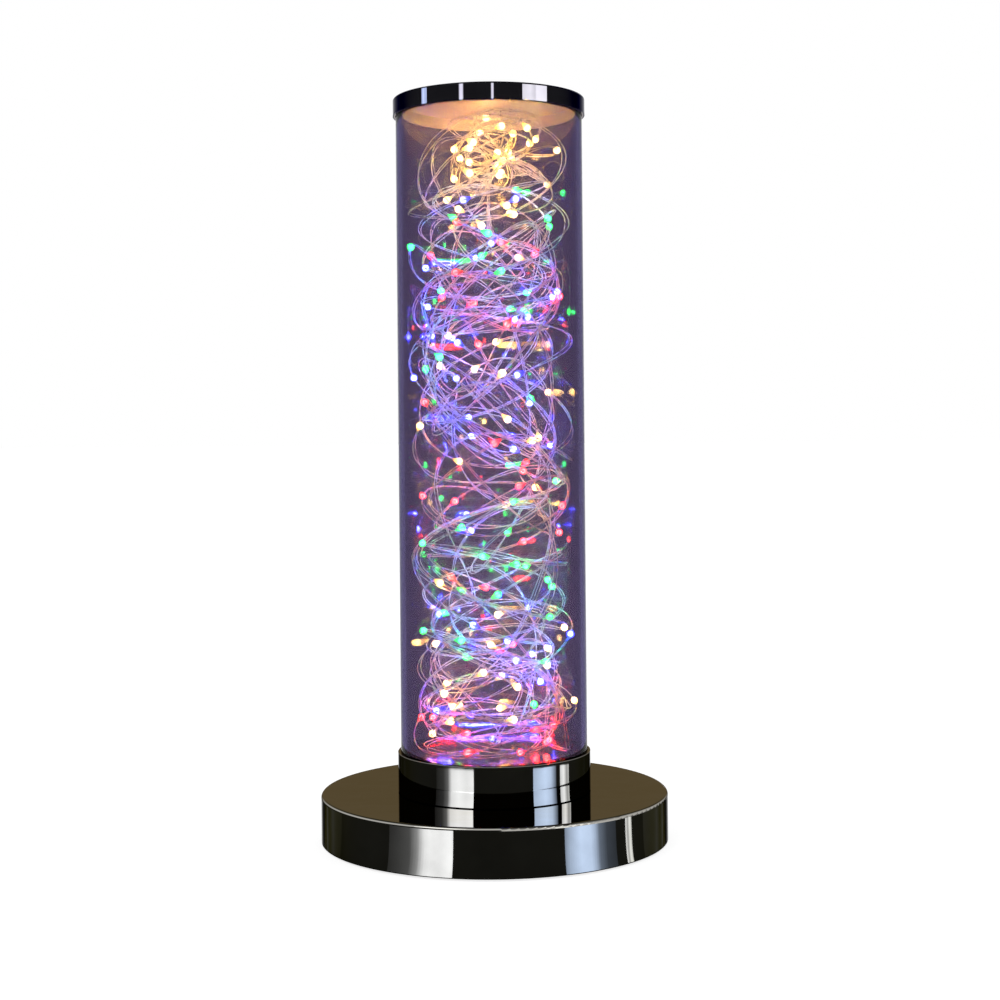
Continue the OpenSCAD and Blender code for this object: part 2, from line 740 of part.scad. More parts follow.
// A resin drop: round in the middle, drawn out along the wire on one side
module light_drop() {
    rotate_extrude($fn = 24) intersection() {
        union() {
            circle(d = led_d);
            polygon([[0, 0], [led_d * 0.47, led_d * 0.1], [wire_d * 0.9, led_tail], [0, led_tail]]);
        }
        translate([0, -led_d]) square([led_d, led_d + led_tail]);
    }
}

module strand_lights(nests, wind, colour) {
    points = strand_points(nests, wind);
    last = len(points) - 1;
    color(colour) for (i = [last : -led_step : loop_rings / 2])
        let (along = points[i - 1] - points[min(i + 1, last)])
            translate(points[i])
                rotate([0, acos(along[2] / norm(along)), atan2(along[1], along[0])]) light_drop();
}

base_shell();
base_weight();
bottom_plate();
plate_screws();
rubber_feet();
threaded_nipple();
nipple_washer(z_washer_low);  // lower_washer
nipple_nut(z_nut_low);  // lower_nut
nipple_washer(z_washer_high);  // upper_washer
nipple_nut(z_nut_high);  // upper_nut
tube_collar();
end_ring(z_web_top);  // tube_seat_ring
inner_floor();
floor_grommet();
clear_tube();
top_cap();
cap_mirror();
end_ring(z_tube_top);  // cap_seal_ring
rear_panel();
switch_housing();
switch_rocker();
switch_pivot_pin();
lug_pair(switch_x, switch_lug_x, switch_back_y);  // switch_terminals
power_inlet();
inlet_centre_pin();
inlet_nut();
lug_pair(inlet_x, inlet_lug_x, inlet_back_y);  // inlet_terminals
driver_board();
board_standoffs();
board_screws();
input_terminal_block();
output_header();
driver_chip();
driver_mosfets();
driver_capacitor();
hookup_lead(inlet_switch_route, [0.7, 0.1, 0.1]);  // inlet_to_switch_lead
hookup_lead(switch_board_route, [0.7, 0.1, 0.1]);  // switch_to_board_lead
hookup_lead(inlet_board_route, [0.1, 0.1, 0.1]);  // inlet_to_board_lead
strand_lead();
strand_sleeve();
strand_wire("warm", warm_nests, warm_wind);  // warm_strand_wire
strand_lights(warm_nests, warm_wind, [1, 0.85, 0.55]);  // warm_strand_lights
strand_wire("blue", blue_nests, blue_wind);  // blue_strand_wire
strand_lights(blue_nests, blue_wind, [0.25, 0.35, 1]);  // blue_strand_lights
strand_wire("green", green_nests, green_wind);  // green_strand_wire
strand_lights(green_nests, green_wind, [0.1, 0.85, 0.4]);  // green_strand_lights
strand_wire("red", red_nests, red_wind);  // red_strand_wire
strand_lights(red_nests, red_wind, [1, 0.2, 0.2]);  // red_strand_lights
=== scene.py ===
import json
import math
from collections import namedtuple

import bmesh
import bpy
import numpy as np
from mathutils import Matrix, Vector


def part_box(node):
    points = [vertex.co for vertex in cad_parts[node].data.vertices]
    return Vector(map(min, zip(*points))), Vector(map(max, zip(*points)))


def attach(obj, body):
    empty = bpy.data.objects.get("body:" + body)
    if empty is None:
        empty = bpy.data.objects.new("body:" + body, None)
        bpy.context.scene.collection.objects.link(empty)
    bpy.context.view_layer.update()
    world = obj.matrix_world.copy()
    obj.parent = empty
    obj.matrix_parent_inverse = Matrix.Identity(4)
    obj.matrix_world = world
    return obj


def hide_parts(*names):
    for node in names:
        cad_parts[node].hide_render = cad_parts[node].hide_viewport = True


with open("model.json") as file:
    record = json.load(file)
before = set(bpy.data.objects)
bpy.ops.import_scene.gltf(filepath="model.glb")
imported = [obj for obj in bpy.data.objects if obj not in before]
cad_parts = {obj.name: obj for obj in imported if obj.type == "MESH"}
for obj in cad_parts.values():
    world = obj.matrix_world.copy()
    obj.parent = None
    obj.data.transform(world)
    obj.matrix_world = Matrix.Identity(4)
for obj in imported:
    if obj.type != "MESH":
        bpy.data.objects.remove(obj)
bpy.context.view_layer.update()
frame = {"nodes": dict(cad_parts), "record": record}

NODES = frame["nodes"]
LAMP = "lamp"
MM = 0.001


# Materials

RAMP_SPOTS = (0.3, 0.7)
ROUGH_GRAIN = 0.6
BUMP_STRENGTH = 0.4


def new_material(name):
    material = bpy.data.materials.new(name)
    material.use_nodes = True
    tree = material.node_tree
    return material, tree, tree.nodes["Principled BSDF"]


def add_node(tree, kind, **inputs):
    node = tree.nodes.new(kind)
    for key, value in inputs.items():
        node.inputs[key.replace("_", " ")].default_value = value
    return node


def colour_ramp(tree, value, stops):
    """Colours that follow a value from 0 to 1, by stops of a value and a colour."""
    node = tree.nodes.new("ShaderNodeValToRGB")
    elements = node.color_ramp.elements
    while len(elements) < len(stops):
        elements.new(1.0)
    for element, (spot, colour) in zip(elements, stops):
        element.position = spot
        element.color = (*colour, 1.0)
    tree.links.new(value, node.inputs["Fac"])
    return node.outputs["Color"]


def colour_mix(tree, factor):
    """A node that mixes colours A and B by a factor."""
    mix = tree.nodes.new("ShaderNodeMix")
    mix.data_type = "RGBA"
    tree.links.new(factor, mix.inputs["Factor"])
    return mix


def noise_between(tree, low, high, scale, detail=4.0, stretch=(1, 1, 1)):
    """A noise in object coordinates that runs from one grey level or colour to another."""
    place = tree.nodes.new("ShaderNodeTexCoord")
    mapping = add_node(tree, "ShaderNodeMapping", Scale=stretch)
    noise = add_node(tree, "ShaderNodeTexNoise", Scale=scale, Detail=detail)
    tree.links.new(place.outputs["Object"], mapping.inputs["Vector"])
    tree.links.new(mapping.outputs["Vector"], noise.inputs["Vector"])
    colours = [value if isinstance(value, tuple) else (value, value, value) for value in (low, high)]
    return colour_ramp(tree, noise.outputs["Fac"], list(zip(RAMP_SPOTS, colours))), noise.outputs["Fac"]


def scaled(tree, value, low, high):
    """A value from 0 to 1 spread between two levels."""
    spread = add_node(tree, "ShaderNodeMapRange", To_Min=low, To_Max=high)
    tree.links.new(value, spread.inputs["Value"])
    return spread.outputs["Result"]


def add_bump(tree, shader, height, strength, distance):
    bump = add_node(tree, "ShaderNodeBump", Strength=strength, Distance=distance)
    tree.links.new(height, bump.inputs["Height"])
    tree.links.new(bump.outputs["Normal"], shader.inputs["Normal"])


def surface(name, low, high, scale, rough, metallic=0.0, bump=0.0):
    """A material whose colour and roughness vary finely over the piece."""
    material, tree, shader = new_material(name)
    colour, height = noise_between(tree, low, high, scale)
    roughness, _ = noise_between(tree, *rough, scale * ROUGH_GRAIN)
    tree.links.new(colour, shader.inputs["Base Color"])
    tree.links.new(roughness, shader.inputs["Roughness"])
    shader.inputs["Metallic"].default_value = metallic
    if bump:
        add_bump(tree, shader, height, BUMP_STRENGTH, bump)
    return material


def dress(node, material, sharp=None):
    """Gives a CAD node its material, and smooth shading with edges above an angle kept sharp."""
    mesh = NODES[node].data
    mesh.materials.clear()
    mesh.materials.append(material)
    if sharp:
        mesh.shade_smooth()
        mesh.set_sharp_from_angle(angle=math.radians(sharp))


def dimmed(colour, share):
    return tuple(share * c for c in colour)


def tinted(colour, tint):
    return tuple(c * t for c, t in zip(colour, tint))


def whitened(colour, share):
    return tuple(share + (1 - share) * c for c in colour)


# Meshes

SAME_POINT = 1e-7


def mesh_object(name, points, faces, material, smooth=True, sharp=None):
    mesh = bpy.data.meshes.new(name)
    mesh.from_pydata([tuple(p) for p in points], [], faces)
    mesh.validate()
    obj = bpy.data.objects.new(name, mesh)
    bpy.context.scene.collection.objects.link(obj)
    if smooth:
        mesh.shade_smooth()
        if sharp:
            mesh.set_sharp_from_angle(angle=math.radians(sharp))
    mesh.materials.append(material)
    return obj


def settle(obj, slot, *nodes):
    """Puts a piece on the lamp's body, in place of CAD nodes."""
    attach(obj, LAMP)
    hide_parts(*nodes)


def lathe_mesh(profile, segments, closed):
    """Points and faces of a profile of (radius, height) turned round Z."""
    count = len(profile)
    turns = [2 * math.pi * i / segments for i in range(segments)]
    points = [(r * math.cos(a), r * math.sin(a), z) for a in turns for r, z in profile]
    faces = []
    for i in range(segments):
        a, b = i * count, (i + 1) % segments * count
        for k in range(count if closed else count - 1):
            n = (k + 1) % count
            faces.append((a + k, b + k, b + n, a + n))
    return points, faces


def clean(mesh):
    """Joins doubled points and turns all faces outwards."""
    work = bmesh.new()
    work.from_mesh(mesh)
    bmesh.ops.remove_doubles(work, verts=work.verts, dist=SAME_POINT)
    bmesh.ops.recalc_face_normals(work, faces=work.faces)
    work.to_mesh(mesh)
    work.free()


class Heap:
    """Collects many small meshes into one."""

    def __init__(self):
        self.points, self.faces = [], []

    def add(self, points, faces):
        base = len(self.points)
        self.points.extend(points)
        self.faces.extend(tuple(base + i for i in face) for face in faces)


# Light strands in millimetres: the same formula and values as the part's solids

TUBE_R, TUBE_IR = 50.0, 47.0
Z_FLOOR, Z_SLEEVE, Z_MIRROR = 45.5, 50.0, 394.0
WIRE_D, RING_R = 0.7, 1.6
WALL_GAP, END_GAP = 1.4, 3.0
STRAND_R = TUBE_IR - WALL_GAP - WIRE_D / 2
Z_STRAND = Z_FLOOR + END_GAP
STRAND_H = Z_MIRROR - END_GAP - Z_STRAND
LOOP_RINGS, LED_STEP = 16, 7
START_LOOPS, NEST_EASE = 0.75, 1.2
SWELL, LEAN_REACH, LEAN_TURN = 0.18, 0.8, 70

Nest = namedtuple("Nest", "height spread fill loops")
Wind = namedtuple("Wind", "angle sense rises rise_phase swells swell_phase lean")
NESTS = {
    "warm": [Nest(0.098, 0.054, 0.907, 4), Nest(0.531, 0.058, 0.865, 3), Nest(0.907, 0.034, 0.471, 5)],
    "blue": [Nest(0.136, 0.074, 0.94, 4), Nest(0.599, 0.101, 0.952, 5), Nest(0.804, 0.054, 0.907, 2)],
    "green": [Nest(0.127, 0.051, 0.918, 2), Nest(0.254, 0.058, 0.939, 4), Nest(0.502, 0.103, 0.948, 2),
              Nest(0.799, 0.078, 0.894, 3)],
    "red": [Nest(0.014, 0.019, 0.864, 4), Nest(0.375, 0.055, 0.968, 3), Nest(0.515, 0.099, 0.952, 1),
            Nest(0.738, 0.067, 0.879, 4)],
}
WINDS = {
    "warm": Wind(-2, 1, 1.384, 231, 0.754, 193, 206),
    "blue": Wind(91, -1, 0.592, 50, 0.615, 97, 201),
    "green": Wind(189, 1, 0.679, 203, 0.722, 327, 114),
    "red": Wind(280, -1, 1.269, 29, 0.858, 260, 37),
}


def eased(x):
    s = np.clip(x, 0, 1)
    return s * s * (3 - 2 * s)


def stepped(rows, field, loops, ease):
    """A field of nests or legs after each number of loops, eased from one row to the next."""
    value, edge = np.full_like(loops, getattr(rows[0], field)), 0
    for before, row in zip(rows, rows[1:]):
        edge += before.loops
        value = value + (getattr(row, field) - getattr(before, field)) * eased((loops - edge) / ease + 0.5)
    return value


def wave(turns, phase):
    return np.sin(np.radians(360 * turns + phase))


def strand_path(nests, wind, loops):
    """Centreline points in millimetres after each number of loops."""
    fill, middle, spread = (stepped(nests, field, loops, NEST_EASE) for field in ("fill", "height", "spread"))
    start = eased(loops / START_LOOPS)
    angle = np.radians(wind.angle + wind.sense * 360 * loops)
    lean = np.radians(wind.lean + LEAN_TURN * loops)
    swelled = 1 - SWELL * (1 + wave(loops * wind.swells, wind.swell_phase)) / 2
    radius = RING_R + (STRAND_R * fill * swelled - RING_R) * start
    offset = LEAN_REACH * STRAND_R * (1 - fill) * start
    height = Z_STRAND + STRAND_H * (middle + spread * wave(loops * wind.rises, wind.rise_phase))
    low = Z_SLEEVE + WIRE_D
    return np.stack([radius * np.cos(angle) + offset * np.cos(lean),
                     radius * np.sin(angle) + offset * np.sin(lean),
                     low + (height - low) * start], axis=1)


# The strands as they show: each starts as its solid, swayed, and goes on in legs of loose loops

PATH_RINGS = 48
KEEP_R, SOFT_R, LEAST_REACH = 44.9, 41.5, 1e-6
KEEP_LOW, KEEP_HIGH, SOFT_Z = 49.3, 390.0, 8.0
LEG_EASE, LEG_REST = 1.0, 0.35
BRIDGE_PULL, BRIDGE_STEP, BRIDGE_POINTS = 1.2, 3, 8

Leg = namedtuple("Leg", "loops first last radius tilt x y spacing")
Turn = namedtuple("Turn", "phase sense roll")
LEGS = {
    "warm": [Leg(8, 376, 361, 20, 55, 2, 0, 84), Leg(2, 366, 350, 44, 42, 0, 0, 190),
             Leg(2, 345, 296, 33, 62, 6, 3, 150), Leg(2, 245, 205, 42, 35, 3, 0, 115),
             Leg(3, 108, 68, 42, 20, 1, 0, 95)],
    "blue": [Leg(2, 305, 235, 42, 58, -6, -3, 140), Leg(2, 220, 165, 37, 75, 2, 4, 190),
             Leg(3, 140, 62, 42, 55, -2, -4, 135)],
    "green": [Leg(2, 340, 290, 40, 50, 3, 0, 150), Leg(2, 265, 190, 40, 68, -5, 6, 210),
              Leg(2, 165, 115, 42, 42, 0, -2, 180)],
    "red": [Leg(2, 310, 262, 39, 48, 6, 0, 140), Leg(2, 225, 178, 42, 30, 0, 0, 180),
            Leg(2, 145, 62, 43, 58, 4, -3, 105)],
}
TURNS = {
    "warm": Turn(20, 1, 0.37),
    "blue": Turn(140, -1, 0.29),
    "green": Turn(250, 1, 0.43),
    "red": Turn(75, -1, 0.33),
}

# Waves that make the loops uneven: size, waves in a loop, multiple of the strand's phase
LEG_SHRINK = (0.09, 0.61, 1)
LEG_TILT, LEG_FACING = (22, 0.47, 2), (25, 0.83, 3)
LEG_X, LEG_Y, LEG_Z = (5, 0.39, 1), (5, 0.53, 5), (4, 1.37, 7)
SWAY_TURN = ((11.0, 0.29, 3), (7.7, 0.83, 5))
SWAY_LIFT = ((7.0, 0.37, 1), (4.2, 1.13, 2))
SWAY_SHRINK = (3.0 / STRAND_R, 0.53, 7)


def uneven(loops, phase, *waves):
    """The sum of some waves along a strand."""
    return sum(size * wave(loops * rate, multiple * phase) for size, rate, multiple in waves)


def leg_heights(legs, loops):
    stations, heights, edge = [], [], 0.0
    for leg in legs:
        stations += [edge + LEG_REST, edge + leg.loops - LEG_REST]
        heights += [leg.first, leg.last]
        edge += leg.loops
    return np.interp(loops, stations, heights)


def kept_inside(path):
    """Presses a path softly back inside the tube, floor and cap."""
    out = path.copy()
    reach = np.hypot(out[:, 0], out[:, 1])
    room = KEEP_R - SOFT_R
    pressed = np.where(reach > SOFT_R, SOFT_R + room * np.tanh((reach - SOFT_R) / room), reach)
    out[:, :2] *= (pressed / np.maximum(reach, LEAST_REACH))[:, None]
    low, high = KEEP_LOW + SOFT_Z, KEEP_HIGH - SOFT_Z
    z = out[:, 2]
    z = np.where(z < low, low - SOFT_Z * np.tanh((low - z) / SOFT_Z), z)
    out[:, 2] = np.where(z > high, high + SOFT_Z * np.tanh((z - high) / SOFT_Z), z)
    return out


def legs_path(legs, turn, loops):
    """Loops that lean every way while they climb or sink along the tube."""
    phase = turn.phase
    radius, tilt, x, y = (stepped(legs, field, loops, LEG_EASE) for field in ("radius", "tilt", "x", "y"))
    radius = radius * (1 - LEG_SHRINK[0] - uneven(loops, phase, LEG_SHRINK))
    tilt = np.radians(tilt + uneven(loops, phase, LEG_TILT))
    facing = np.radians(phase + 360 * turn.roll * loops + uneven(loops, phase, LEG_FACING))
    angle = np.radians(turn.sense * 360 * loops + phase)
    centre = np.stack([x + uneven(loops, phase, LEG_X), y + uneven(loops, phase, LEG_Y),
                       leg_heights(legs, loops) + uneven(loops, phase, LEG_Z)], axis=1)
    flat = np.stack([-np.sin(facing), np.cos(facing), 0 * facing], axis=1)
    steep = np.stack([-np.cos(tilt) * np.cos(facing), -np.cos(tilt) * np.sin(facing), np.sin(tilt)], axis=1)
    ring = np.cos(angle)[:, None] * flat + np.sin(angle)[:, None] * steep
    return kept_inside(centre + radius[:, None] * ring)


def swayed(path, loops, phase):
    """A strand's centreline with the loose sway of soft wire, about 5 mm off it and 15 mm at most."""
    grow = eased(loops / START_LOOPS)
    turn = np.radians(uneven(loops, phase, *SWAY_TURN)) * grow
    reach = 1 - (SWAY_SHRINK[0] + uneven(loops, phase, SWAY_SHRINK)) * grow
    x, y = path[:, 0] * reach, path[:, 1] * reach
    moved = np.stack([x * np.cos(turn) - y * np.sin(turn), x * np.sin(turn) + y * np.cos(turn),
                      path[:, 2] + uneven(loops, phase, *SWAY_LIFT) * grow], axis=1)
    return path + (kept_inside(moved) - path) * grow[:, None]


def bridge(first, second):
    """A smooth piece of wire from the end of one path to the start of another."""
    start, end = first[-1], second[0]
    span = np.linalg.norm(end - start)
    leave, arrive = first[-1] - first[-2], second[1] - second[0]
    leave, arrive = (way / np.linalg.norm(way) * span * BRIDGE_PULL for way in (leave, arrive))
    t = np.linspace(0, 1, max(BRIDGE_POINTS, int(span / BRIDGE_STEP)))[1:-1, None]
    curve = ((2 * t ** 3 - 3 * t ** 2 + 1) * start + (t ** 3 - 2 * t ** 2 + t) * leave
             + (3 * t ** 2 - 2 * t ** 3) * end + (t ** 3 - t ** 2) * arrive)
    return kept_inside(curve)


def travelled(path):
    steps = np.linalg.norm(np.diff(path, axis=0), axis=1)
    return np.concatenate([[0.0], np.cumsum(steps)])


def loop_stations(count):
    return np.linspace(0, count, count * PATH_RINGS + 1)


def whole_strand(name):
    """Centreline of a strand and the indices on it where its lights sit."""
    nests, legs, turn = NESTS[name], LEGS[name], TURNS[name]
    total = sum(nest.loops for nest in nests)
    wound = loop_stations(total)
    main = swayed(strand_path(nests, WINDS[name], wound), wound, turn.phase)
    rings = range(LOOP_RINGS * total, LOOP_RINGS // 2 - 1, -LED_STEP)
    lights = [PATH_RINGS * ring // LOOP_RINGS for ring in rings]
    loops = loop_stations(sum(leg.loops for leg in legs))
    rest = legs_path(legs, turn, loops)
    path = np.concatenate([main, bridge(main, rest), rest])
    spacing = stepped(legs, "spacing", loops, LEG_EASE)
    paid = np.concatenate([[0.0], np.cumsum(np.diff(travelled(rest)) / spacing[1:])])
    first = len(path) - len(rest)
    lights += [first + int(np.searchsorted(paid, k + 0.5)) for k in range(int(paid[-1] - 0.5) + 1)]
    return path, sorted(set(lights))


# Meshes of the strands, with waves as above but along each millimetre and by the strand's seed

SIDE_SEED = (0.3, 0.2, 0.9)
PAIR_WIRE_R, PAIR_SIDES = 0.27, 5
PAIR_GAP, PAIR_SPREAD, PAIR_MEET = 0.34, 0.60, 35
PAIR_EVEN, PAIR_WAVE = 0.8, (0.6, 1 / 130, 90)
PAIR_TWIST, PAIR_START, PAIR_CURL = 1.1, 57, (50, 1 / 90, 33)
DROP = [(0.0, -1.95), (0.75, -1.8), (1.38, -1.38), (1.8, -0.75), (1.95, 0.0), (1.9, 0.46),
        (1.66, 1.15), (1.26, 2.0), (0.9, 2.9), (0.68, 3.6), (0.54, 4.0), (0.0, 4.0)]
DROP_ZONES, DROP_SIDES = [0, 0, 0, 0, 0, 0, 1, 1, 2, 2, 2], 14
CORE = [(0.0, -1.0), (0.57, -0.8), (0.89, -0.36), (0.97, 0.14), (0.83, 0.64), (0.43, 1.0), (0.0, 1.14)]
CORE_ZONES, CORE_SIDES = [3, 3, 3, 3, 3, 3], 10


def carried_sides(path):
    """Tangents of a path and two side vectors that turn as little as they can."""
    tangents = np.gradient(path, axis=0)
    tangents = tangents / np.linalg.norm(tangents, axis=1, keepdims=True)
    side = np.cross(tangents[0], SIDE_SEED)
    sides = []
    for tangent in tangents:
        side = side - tangent * side.dot(tangent)
        side = side / np.linalg.norm(side)
        sides.append(side)
    sides = np.array(sides)
    return tangents, sides, np.cross(tangents, sides)


def sweep(path, radius, sides_count):
    """Points and faces of a closed tube along a path, in metres."""
    _, side, up = carried_sides(path)
    turns = np.arange(sides_count) * 2 * math.pi / sides_count
    rings = path[:, None] + radius * (np.cos(turns)[None, :, None] * side[:, None]
                                      + np.sin(turns)[None, :, None] * up[:, None])
    points = (rings.reshape(-1, 3) * MM).tolist()
    faces = []
    for i in range(len(path) - 1):
        for k in range(sides_count):
            n = (k + 1) % sides_count
            a, b = i * sides_count, (i + 1) * sides_count
            faces.append((a + k, a + n, b + n, b + k))
    last = (len(path) - 1) * sides_count
    faces.append(tuple(range(sides_count))[::-1])
    faces.append(tuple(last + k for k in range(sides_count)))
    return points, faces


def lay_pair(heap, path, lights, seed):
    """Two thin wires that run side by side, meet at each light and stand apart in between."""
    _, side, up = carried_sides(path)
    far = travelled(path)
    nearest = np.min(np.abs(far[:, None] - far[lights][None, :]), axis=1)
    gap = PAIR_GAP + PAIR_SPREAD * eased(nearest / PAIR_MEET) * (PAIR_EVEN + uneven(far, seed, PAIR_WAVE))
    twist = np.radians(PAIR_TWIST * far + PAIR_START * seed + uneven(far, seed, PAIR_CURL))
    offset = gap[:, None] * (np.cos(twist)[:, None] * side + np.sin(twist)[:, None] * up)
    for sign in (-1, 1):
        heap.add(*sweep(path + sign * offset, PAIR_WIRE_R, PAIR_SIDES))


def lay_drops(heap, path, lights):
    """Resin drops, each with the hot diode inside it; gives the finish of each face."""
    tangents, sides, ups = carried_sides(path)
    zones = []
    for profile, segments, finishes in ((DROP, DROP_SIDES, DROP_ZONES), (CORE, CORE_SIDES, CORE_ZONES)):
        points, faces = lathe_mesh(profile, segments, closed=False)
        points = np.array(points)
        for i in lights:
            turned = points[:, :1] * sides[i] + points[:, 1:2] * ups[i] - points[:, 2:3] * tangents[i]
            heap.add(((path[i] + turned) * MM).tolist(), faces)
            zones += finishes * segments
    return zones


# Lights and wires

HOT_COLOURS = {
    "warm": (1.0, 0.80, 0.22),
    "blue": (0.025, 0.055, 1.0),
    "green": (0.015, 1.0, 0.07),
    "red": (1.0, 0.045, 0.025),
}
TAIL_COLOURS = {
    "warm": (1.0, 0.62, 0.08),
    "blue": (0.01, 0.025, 1.0),
    "green": (0.005, 0.85, 0.04),
    "red": (1.0, 0.02, 0.01),
}
GLOW_COLOURS = {
    "warm": (1.0, 0.76, 0.10),
    "blue": (0.05, 0.08, 1.0),
    "green": (0.02, 1.0, 0.10),
    "red": (1.0, 0.04, 0.03),
}
GLOW_POWER = {"warm": 0.035, "blue": 0.200, "green": 0.042, "red": 0.056}
GLOW_RADIUS = 1.2 * MM
ZONE_STRENGTHS, CORE_STRENGTH, CORE_WHITE = (13.0, 10.0, 6.0), 26.0, 0.09
RESIN_ALPHA, RESIN_ROUGHNESS = 0.6, 0.15
TINT_GRAIN, TINT_DIM = 900, 0.8
GLOW_GRAIN, GLOW_DIM = 700, 0.9

# Wire tinted towards the colour of its own strand's lights: partly gilt, silvered and coppered metal, partly
# painted light from those lights
WIRE_METAL_AND_PAINTED_LIGHT = {
    "warm": ((0.92, 0.80, 0.50), (0.97, 0.88, 0.60)),
    "blue": ((0.78, 0.84, 0.92), (0.86, 0.91, 0.97)),
    "green": ((0.76, 0.88, 0.80), (0.84, 0.95, 0.88)),
    "red": ((0.92, 0.58, 0.44), (0.97, 0.68, 0.54)),
}
WIRE_GRAIN, WIRE_ROUGH, WIRE_METALLIC = 400, (0.24, 0.36), 0.6


def glowing(name, colour, strength, alpha):
    material, tree, shader = new_material(name)
    tint, _ = noise_between(tree, dimmed(colour, TINT_DIM), colour, TINT_GRAIN)
    glow, _ = noise_between(tree, colour, dimmed(colour, GLOW_DIM), GLOW_GRAIN)
    tree.links.new(tint, shader.inputs["Base Color"])
    tree.links.new(glow, shader.inputs["Emission Color"])
    shader.inputs["Roughness"].default_value = RESIN_ROUGHNESS
    shader.inputs["Emission Strength"].default_value = strength
    shader.inputs["Alpha"].default_value = alpha
    return material


def light_materials(name):
    """Clear resin drop, deeper in colour towards its tail, round a bright diode."""
    hot, tail = HOT_COLOURS[name], TAIL_COLOURS[name]
    zones = []
    for zone, strength in enumerate(ZONE_STRENGTHS):
        share = zone / (len(ZONE_STRENGTHS) - 1)
        colour = tuple(h + (t - h) * share for h, t in zip(hot, tail))
        zones.append(glowing(f"{name}_resin_{zone}", colour, strength, RESIN_ALPHA))
    zones.append(glowing(name + "_diode", whitened(hot, CORE_WHITE), CORE_STRENGTH, 1.0))
    return zones


def light_up(name, places):
    """A small lamp in each drop, which lights the wires round it."""
    glow = bpy.data.lights.new(name + "_glow", "POINT")
    glow.color = GLOW_COLOURS[name]
    glow.energy = GLOW_POWER[name]
    glow.shadow_soft_size = GLOW_RADIUS
    for number, place in enumerate(places):
        lamp = bpy.data.objects.new(f"{name}_glow_{number}", glow)
        lamp.location = place
        lamp.visible_camera = False
        bpy.context.scene.collection.objects.link(lamp)


def build_strand(name):
    wires, drops = Heap(), Heap()
    path, lights = whole_strand(name)
    lay_pair(wires, path, lights, len(name))
    zones = lay_drops(drops, path, lights)
    # Each strand's wire colour holds painted light in its own lights' colour.
    metal = surface(name + "_wire", *WIRE_METAL_AND_PAINTED_LIGHT[name], WIRE_GRAIN, WIRE_ROUGH, WIRE_METALLIC)
    wire = mesh_object(name + "_strand_pair", wires.points, wires.faces, metal)
    settle(wire, "strand_metal", name + "_strand_wire")
    finishes = light_materials(name)
    drop = mesh_object(name + "_strand_drops", drops.points, drops.faces, finishes[0])
    for finish in finishes[1:]:
        drop.data.materials.append(finish)
    drop.data.polygons.foreach_set("material_index", zones)
    clean(drop.data)
    drop.visible_shadow = False
    settle(drop, name + "_light", name + "_strand_lights")
    light_up(name, path[lights] * MM)


# Plated metal

PLATE_F0 = 0.0063
PLATE_COLOURS = ((0.0056, 0.0055, 0.0043), (0.0070, 0.0069, 0.0054))
PLATE_GRAIN, PLATE_ROUGH = 60, (0.02, 0.05)
RIPPLE_SCALE, RIPPLE_DEPTH = 45, 0.00003
PLATE_SHARP, FINISH_SHARP = 35, 25
BLACK, WHITE = (0.0, 0.0, 0.0), (1.0, 1.0, 1.0)
# By the height of the normal: where side turns into top, and where the rounded edge is brightened as a
# painted highlight line
TOP_FROM, TOP_TO = 0.4, 0.9
EDGE_HIGHLIGHT_STOPS, EDGE_PAINTED_HIGHLIGHT = ((0.28, BLACK), (0.40, WHITE), (0.60, WHITE), (0.80, BLACK)), (0.40, 0.39, 0.36)
# What the sides and the flat top reflect, by the cosine of the angle at which they are seen; the top's brown
# is a painted reflection
SIDE_SHINE = (
    (0.50, (0.0072, 0.0070, 0.0055)), (0.35, (0.0078, 0.0076, 0.0058)), (0.25, (0.0084, 0.0081, 0.0061)),
    (0.18, (0.0090, 0.0086, 0.0064)), (0.14, (0.0096, 0.0092, 0.0068)),
)
TOP_PAINTED_REFLECTION = (
    (0.643, (0.0105, 0.0095, 0.0075)), (0.50, (0.020, 0.017, 0.011)), (0.4226, (0.030, 0.024, 0.014)),
    (0.342, (0.045, 0.035, 0.019)), (0.265, (0.070, 0.053, 0.028)), (0.225, (0.088, 0.065, 0.033)),
    (0.1736, (0.090, 0.066, 0.034)), (0.13, (0.092, 0.069, 0.036)),
)
DIP_COSINE = 1 / 7

# The warm bright plating inside the cap's rim is painted glow from the lights.
CAP_INSIDE_PAINTED_GLOW, CAP_COLOURS = (0.62, 0.54, 0.46), ((0.0070, 0.0068, 0.0085), (0.0095, 0.0092, 0.011))
CAP_EDGE = (0.42, 0.42, 0.46)
CAP_INSIDE_R, Z_CAP_INSIDE = 50.8 * MM, 395.9 * MM


def edge_tint(cosine, wanted):
    """The specular tint with which the plating reflects a wanted colour at an angle."""
    def schlick(c):
        return PLATE_F0 + (1 - PLATE_F0) * (1 - c) ** 5

    def dip(c):
        return c * (1 - c) ** 6
    share = schlick(DIP_COSINE) * dip(cosine) / dip(DIP_COSINE)
    return tuple(min(1.0, max(0.0, 1 - (schlick(cosine) - w) / share)) for w in wanted)


def shine_ramp(tree, facing, shine):
    """The specular tint over the angle of view."""
    return colour_ramp(tree, facing, [(1 - cosine, edge_tint(cosine, wanted)) for cosine, wanted in shine])


def part_z(tree, coordinate):
    """The height of one of the texture coordinates."""
    place = tree.nodes.new("ShaderNodeTexCoord")
    split = tree.nodes.new("ShaderNodeSeparateXYZ")
    tree.links.new(place.outputs[coordinate], split.inputs["Vector"])
    return split.outputs["Z"]


